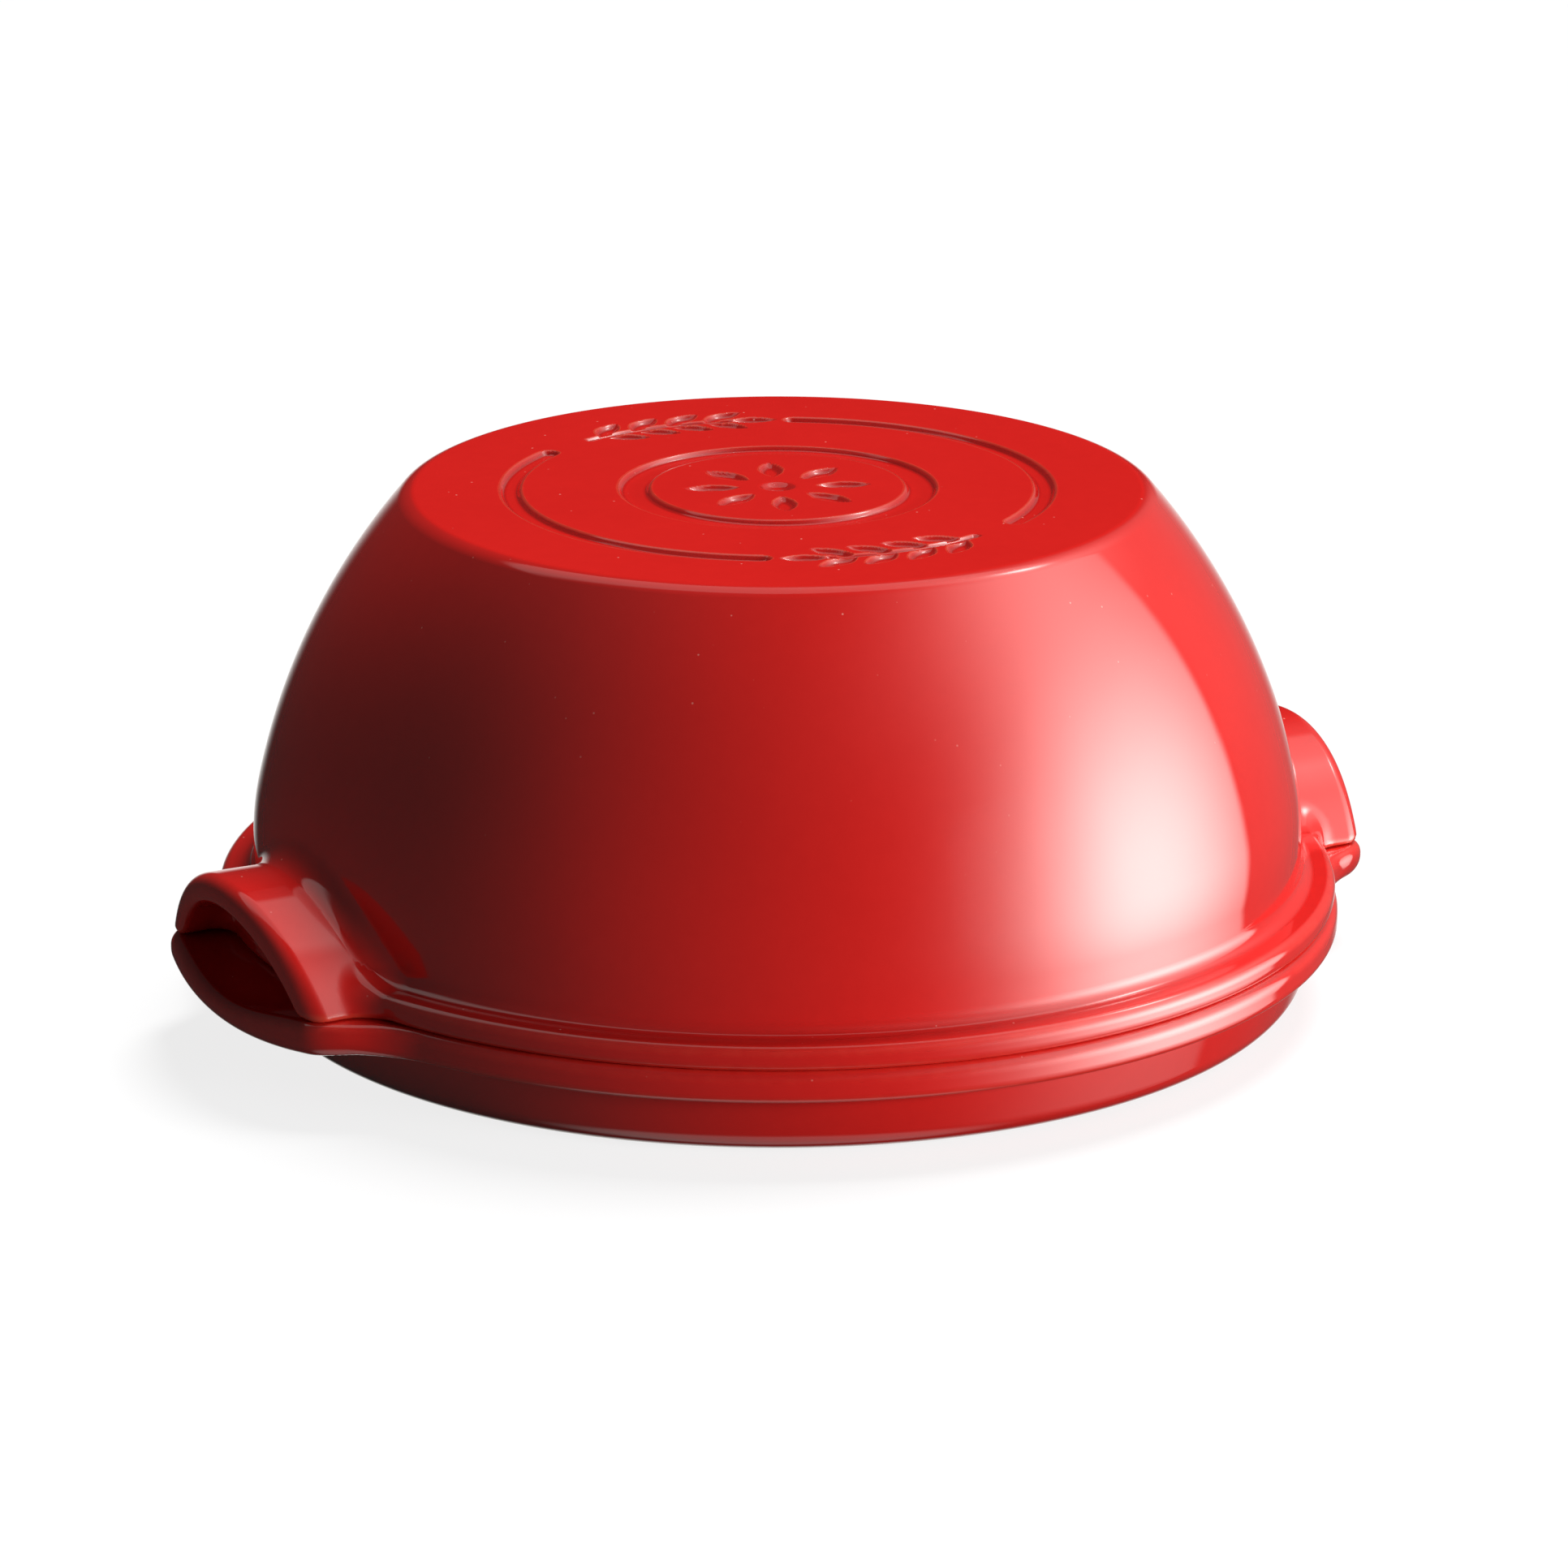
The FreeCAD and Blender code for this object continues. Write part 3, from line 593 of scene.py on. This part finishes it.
def make_lid():
    """The lid: a net up to some height, then rings over the dome outside and inside."""
    shell = Shell(turns_round(shell_steps))
    net_top = 61.0
    net_inset = 18.0
    radii = np.arange(wall_radius - net_inset, arch_reach + 2 * cell, cell)
    heights = net_top - np.arange(0, net_top - skirt_foot + 2 * cell, cell)[::-1]
    number = shell.add_net(lid_field, radii, heights)
    inner, outer = np.flatnonzero(number[0, :, -1] >= 0)[[0, -1]]
    start = net_top + cell
    path = dome_path(start, 0, top_height, top_round, flank_count=16, round_count=9)
    rows = [shell.ring(radius, height, slope) for radius, height, slope in path]
    add_top(shell, shell.add_rows(number[:, outer, -1], rows, turned=False))
    ceiling = top_height - lid_wall
    ceiling_rings = 7
    path = dome_path(start, lid_wall, ceiling, ceiling_round, flank_count=9, round_count=8)
    spots = np.linspace(path[-1][0], cap_radius, ceiling_rings)[1:]
    path += [(radius, ceiling, math.pi / 2) for radius in spots]
    rows = [shell.ring(radius, height, slope + math.pi) for radius, height, slope in path]
    shell.add_cap(shell.add_rows(number[:, inner, -1], rows, turned=True), turned=True)
    return shell.make_object("glazed_lid")


def make_dish():
    """The dish: a net round the wall, the rim and the foot, then rings across the floor and under it."""
    shell = Shell(turns_round(shell_steps))
    net_edge = 110.0
    floor_rings = 8
    radii = net_edge + np.arange(0, lip_reach - net_edge + 2 * cell, cell)
    heights = np.arange(-1.5 * cell, seam_height + 2 * cell, cell)
    number = shell.add_net(dish_field, radii, heights)
    lower, upper = np.flatnonzero(number[0, 0] >= 0)[[0, -1]]
    spots = np.linspace(net_edge - 2 * cell, cap_radius, floor_rings)
    rows = [shell.ring(radius, floor_height, math.pi / 2) for radius in spots]
    shell.add_cap(shell.add_rows(number[:, 0, upper], rows, turned=False), turned=False)
    rows = [shell.ring(radius, foot_recess, -math.pi / 2) for radius in spots]
    shell.add_cap(shell.add_rows(number[:, 0, lower], rows, turned=True), turned=True)
    return shell.make_object("glazed_dish")


def studio_point(turn, elevation, distance):
    """A point round the object: turn 0 is towards the camera and 90 to its right, in degrees."""
    turn = math.radians(turn)
    elevation = math.radians(elevation)
    level = towards_camera * math.cos(turn) + to_the_right * math.sin(turn)
    return aim + distance * (level * math.cos(elevation) + Vector((0, 0, math.sin(elevation))))


def make_camera():
    data = bpy.data.cameras.new("camera")
    data.sensor_width = camera_sensor
    data.lens = camera_lens
    data.shift_x = camera_shift
    data.clip_end = 50.0
    camera = bpy.data.objects.new("camera", data)
    bpy.context.scene.collection.objects.link(camera)
    camera.location = studio_point(0, math.degrees(camera_elevation), camera_distance)
    camera.rotation_euler = (math.pi / 2 - camera_elevation, 0.0, camera_azimuth)
    bpy.context.scene.camera = camera


class Formula:
    """A number in a node tree that ordinary arithmetic turns into math nodes."""

    def __init__(self, tree, socket):
        self.tree = tree
        self.socket = socket

    def apply(self, operation, *others):
        node = self.tree.nodes.new("ShaderNodeMath")
        node.operation = operation
        for place, value in zip(node.inputs, (self, *others)):
            if isinstance(value, Formula):
                self.tree.links.new(value.socket, place)
            else:
                place.default_value = value
        return Formula(self.tree, node.outputs["Value"])

    def __add__(self, other):
        return self.apply("ADD", other)

    def __sub__(self, other):
        return self.apply("SUBTRACT", other)

    def __mul__(self, other):
        return self.apply("MULTIPLY", other)

    def __truediv__(self, other):
        return self.apply("DIVIDE", other)

    def size(self):
        return self.apply("ABSOLUTE")

    def ramp(self, start, stop):
        """Eases from 0 at the start to 1 at the stop."""
        node = self.tree.nodes.new("ShaderNodeMapRange")
        node.interpolation_type = "SMOOTHSTEP"
        node.inputs["From Min"].default_value = start
        node.inputs["From Max"].default_value = stop
        self.tree.links.new(self.socket, node.inputs["Value"])
        return Formula(self.tree, node.outputs["Result"])

    def bell(self, centre, before, after):
        """A bell curve about a centre, with its own spread on each side."""
        away = self - centre
        lower = away.apply("MINIMUM", 0.0) / before
        upper = away.apply("MAXIMUM", 0.0) / after
        power = lower * lower + upper * upper
        return (power * -1.0).apply("EXPONENT")


def studio_glow(tree):
    """What the glaze mirrors, by turn and rise in degrees: a soft box at the right and dim light."""
    place = tree.nodes.new("ShaderNodeTexCoord")

    def part(axis):
        node = tree.nodes.new("ShaderNodeVectorMath")
        node.operation = "DOT_PRODUCT"
        tree.links.new(place.outputs["Generated"], node.inputs[0])
        node.inputs[1].default_value = axis
        return Formula(tree, node.outputs["Value"])

    turn = part(to_the_right).apply("ARCTAN2", part(towards_camera)).apply("DEGREES")
    rise = part(Vector((0, 0, 1))).apply("ARCSINE").apply("DEGREES")
    soft_box = turn.bell(84, 26, 33) * rise.bell(1, 29, 27) * turn.ramp(123.5, 120) * soft_box_glow
    above_it = turn.bell(110, 50, 38) * rise.bell(46, 18, 18) * above_box_glow
    beside_it = turn.ramp(120, 125) * turn.ramp(172, 160) * rise.bell(10, 40, 25) * beside_box_glow
    lamp = turn.bell(125, 7, 7) * rise.bell(51, 4, 4) * lamp_glow
    ceiling = turn.size().ramp(92, 118) * rise.ramp(44, 48) * ceiling_glow
    table = rise.ramp(-62, -74) * table_glow
    backdrop = turn.size().ramp(158, 176) * rise.ramp(3, -8) * rise.ramp(-60, -40) * backdrop_glow
    room = turn.bell(-70, 70, 60) * left_room_glow + room_glow
    return soft_box + above_it + beside_it + lamp + ceiling + table + backdrop + room


def make_world():
    """White for the camera, the studio for mirror images, and a faint fill for all other light."""
    world = bpy.data.worlds.new("studio")
    bpy.context.scene.world = world
    world.use_nodes = True
    world.cycles.sampling_method = "NONE"
    tree = world.node_tree
    tree.nodes.clear()
    path = tree.nodes.new("ShaderNodeLightPath")
    camera = Formula(tree, path.outputs["Is Camera Ray"])
    glossy = Formula(tree, path.outputs["Is Glossy Ray"])
    background = tree.nodes.new("ShaderNodeBackground")
    mirrored = glossy * (studio_glow(tree) - fill_glow)
    strength = camera + mirrored + (camera * -1.0 + 1.0) * fill_glow
    background.inputs["Color"].default_value = warm_white
    tree.links.new(strength.socket, background.inputs["Strength"])
    output = tree.nodes.new("ShaderNodeOutputWorld")
    tree.links.new(background.outputs["Background"], output.inputs["Surface"])


def add_lamp(data, turn, elevation, distance):
    """Places a lamp that faces the object. It shows no mirror image, as the world holds that."""
    lamp = bpy.data.objects.new(data.name, data)
    bpy.context.scene.collection.objects.link(lamp)
    lamp.location = studio_point(turn, elevation, distance)
    lamp.rotation_euler = (lamp.location - aim).to_track_quat("Z", "Y").to_euler()
    lamp.visible_camera = False
    lamp.visible_glossy = False


def make_key_light():
    data = bpy.data.lights.new("key_light", "AREA")
    data.size = 0.35
    data.energy = 6.6
    add_lamp(data, turn=48.5, elevation=8, distance=0.8)


def make_side_light():
    data = bpy.data.lights.new("side_light", "AREA")
    data.size = 0.3
    data.energy = 3.2
    add_lamp(data, turn=126, elevation=8, distance=1.0)


def make_top_light():
    data = bpy.data.lights.new("top_light", "SUN")
    data.angle = math.radians(25)
    data.energy = 3.9
    add_lamp(data, turn=152, elevation=60, distance=1.5)


def new_material(name):
    material = bpy.data.materials.new(name)
    material.use_nodes = True
    material.node_tree.nodes.clear()
    return material, material.node_tree.nodes, material.node_tree.links


def make_floor_plane():
    """A wide square, just low enough not to share a plane with the foot of the dish."""
    half = 6.0
    drop = 0.0003
    corners = [(-half, -half, 0), (half, -half, 0), (half, half, 0), (-half, half, 0)]
    mesh = bpy.data.meshes.new("floor")
    mesh.from_pydata(corners, [], [(0, 1, 2, 3)])
    floor = bpy.data.objects.new("floor", mesh)
    floor.location.z = -drop
    floor.visible_glossy = False
    bpy.context.scene.collection.objects.link(floor)
    return floor


def floor_material(name):
    """Matt grey that takes shadows, with a glow for the camera that lifts it to white."""
    grey = (0.17, 0.17, 0.17, 1)
    glow_strength = 0.82
    material, nodes, links = new_material(name)
    output = nodes.new("ShaderNodeOutputMaterial")
    matt = nodes.new("ShaderNodeBsdfDiffuse")
    matt.inputs["Color"].default_value = grey
    glow = nodes.new("ShaderNodeEmission")
    path = nodes.new("ShaderNodeLightPath")
    strength = Formula(material.node_tree, path.outputs["Is Camera Ray"]) * glow_strength
    both = nodes.new("ShaderNodeAddShader")
    links.new(strength.socket, glow.inputs["Strength"])
    links.new(matt.outputs["BSDF"], both.inputs[0])
    links.new(glow.outputs["Emission"], both.inputs[1])
    links.new(both.outputs["Shader"], output.inputs["Surface"])
    return material


def make_floor():
    floor = make_floor_plane()
    floor.data.materials.append(floor_material("pale_floor"))


def make_studio():
    make_world()
    make_floor()
    make_key_light()
    make_side_light()
    make_top_light()


def noise(tree, scale, detail):
    """Cloudy variation about 0, by places on the object, with a number of clouds per metre."""
    place = tree.nodes.new("ShaderNodeTexCoord")
    node = tree.nodes.new("ShaderNodeTexNoise")
    node.inputs["Scale"].default_value = scale
    node.inputs["Detail"].default_value = detail
    tree.links.new(place.outputs["Object"], node.inputs["Vector"])
    return Formula(tree, node.outputs["Fac"]) - 0.5


def specks(tree, scale, reach):
    """Scattered dots, 1 in their middle, in some of the cells of a number per metre."""
    place = tree.nodes.new("ShaderNodeTexCoord")
    node = tree.nodes.new("ShaderNodeTexVoronoi")
    node.inputs["Scale"].default_value = scale
    tree.links.new(place.outputs["Object"], node.inputs["Vector"])
    split = tree.nodes.new("ShaderNodeSeparateColor")
    tree.links.new(node.outputs["Color"], split.inputs["Color"])
    chosen = Formula(tree, split.outputs["Red"]).ramp(0.55, 0.95)
    return Formula(tree, node.outputs["Distance"]).ramp(reach, reach * 0.4) * chosen


def upward_part(tree, vector):
    """The part of a vector in a node tree that points up."""
    split = tree.nodes.new("ShaderNodeSeparateXYZ")
    tree.links.new(vector, split.inputs["Vector"])
    return Formula(tree, split.outputs["Z"])


def facing_up(tree):
    """1 where the surface faces up, 0 where it is upright and -1 where it faces down."""
    place = tree.nodes.new("ShaderNodeNewGeometry")
    return upward_part(tree, place.outputs["Normal"])


def flat_faces(tree):
    """1 on the flat top of the lid and on the floor inside the dish, and 0 elsewhere."""
    decoration = 1.5
    margin = 0.5
    fade = 1.0
    place = tree.nodes.new("ShaderNodeTexCoord")
    height = upward_part(tree, place.outputs["Object"]) / mm
    top = height.ramp(top_height - decoration - fade, top_height - decoration)
    floor = height.ramp(floor_height + margin + fade, floor_height + margin)
    level = facing_up(tree).ramp(0.95, 0.995)
    return (top + floor) * level


def attribute(tree, name):
    node = tree.nodes.new("ShaderNodeAttribute")
    node.attribute_name = name
    return Formula(tree, node.outputs["Fac"])


def tint(tree, under, share, colour):
    """Lays a colour over a colour by a share."""
    node = tree.nodes.new("ShaderNodeMix")
    node.data_type = "RGBA"
    node.clamp_factor = True
    tree.links.new(share.socket, node.inputs["Factor"])
    lower, upper = (place for place in node.inputs if place.type == "RGBA")
    if isinstance(under, tuple):
        lower.default_value = under
    else:
        tree.links.new(under, lower)
    upper.default_value = colour
    return next(place for place in node.outputs if place.type == "RGBA")


def raised(tree, height):
    """A surface normal from heights in millimetres."""
    node = tree.nodes.new("ShaderNodeBump")
    node.inputs["Distance"].default_value = mm
    tree.links.new(height.socket, node.inputs["Height"])
    return node.outputs["Normal"]


def surface_material(name):
    """A material with one shader, which is still to be filled in."""
    material, nodes, links = new_material(name)
    output = nodes.new("ShaderNodeOutputMaterial")
    shader = nodes.new("ShaderNodeBsdfPrincipled")
    links.new(shader.outputs["BSDF"], output.inputs["Surface"])
    return material, material.node_tree, shader.inputs


def glaze_material(name):
    """Glossy red glaze: it pools in hollows, thins on sharp edges, and is faintly mottled and wavy."""
    material, tree, inputs = surface_material(name)
    bend = attribute(tree, "sharpness")
    cloud = noise(tree, scale=22, detail=3)
    mottle = noise(tree, scale=260, detail=2)
    dots = specks(tree, scale=210, reach=0.075) * facing_up(tree).ramp(0.2, 0.8)
    thin = (bend + mottle * 0.12).ramp(0.10, 0.42)
    pooled = (bend * -1.0).ramp(0.03, 0.25)
    red = tint(tree, deep_red, cloud * 0.9 + mottle * 0.5 + 0.5, bright_red)
    red = tint(tree, red, pooled * pooled_share, pooled_red)
    red = tint(tree, red, thin * thin_share, thin_red)
    red = tint(tree, red, dots * speck_share, speck_pink)
    tree.links.new(red, inputs["Base Color"])
    satin = flat_faces(tree)
    uneven = cloud * 0.03 + mottle * 0.02 + thin * 0.03
    roughness = uneven + satin * satin_roughness + gloss_roughness
    tree.links.new(roughness.socket, inputs["Roughness"])
    mirror = satin * (satin_mirror - gloss_mirror) + gloss_mirror
    tree.links.new(mirror.socket, inputs["Specular IOR Level"])
    inputs["IOR"].default_value = glaze_ior
    swell = noise(tree, scale=55, detail=1) * swell_height
    ripple = noise(tree, scale=420, detail=1) * ripple_height
    relief = swell + ripple - dots * speck_pit
    tree.links.new(raised(tree, relief), inputs["Normal"])
    return material


def clay_material(name):
    """Bare buff stoneware with fine sand in it, where the foot stands in the kiln."""
    material, tree, inputs = surface_material(name)
    sand = noise(tree, scale=900, detail=3)
    cloud = noise(tree, scale=60, detail=2)
    buff = tint(tree, dark_buff, sand * 1.2 + cloud * 0.8 + 0.5, pale_buff)
    buff = tint(tree, buff, specks(tree, scale=700, reach=0.2), sand_brown)
    tree.links.new(buff, inputs["Base Color"])
    roughness = sand * 0.2 + clay_roughness
    tree.links.new(roughness.socket, inputs["Roughness"])
    tree.links.new(raised(tree, sand * sand_height), inputs["Normal"])
    return material


def bare_foot(thing, clay):
    """Leaves the flat ring that the dish stands on without glaze."""
    foot_level = 0.2 * mm
    thing.data.materials.append(clay)
    for face in thing.data.polygons:
        if face.center.z < foot_level:
            face.material_index = 1


make_camera()
make_studio()
glaze = glaze_material("red_glaze")
lid = make_lid()
dish = make_dish()
pieces = (
    (lid, "lid", "dome_lid", "lid_glaze"),
    (dish, "dish", "base_dish", "dish_glaze"),
)
for thing, body, node, slot in pieces:
    thing.data.materials.append(glaze)
    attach(thing, body)
    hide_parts(node)
bare_foot(dish, clay_material("bare_stoneware"))

scene = bpy.context.scene
scene.view_settings.view_transform = "Standard"
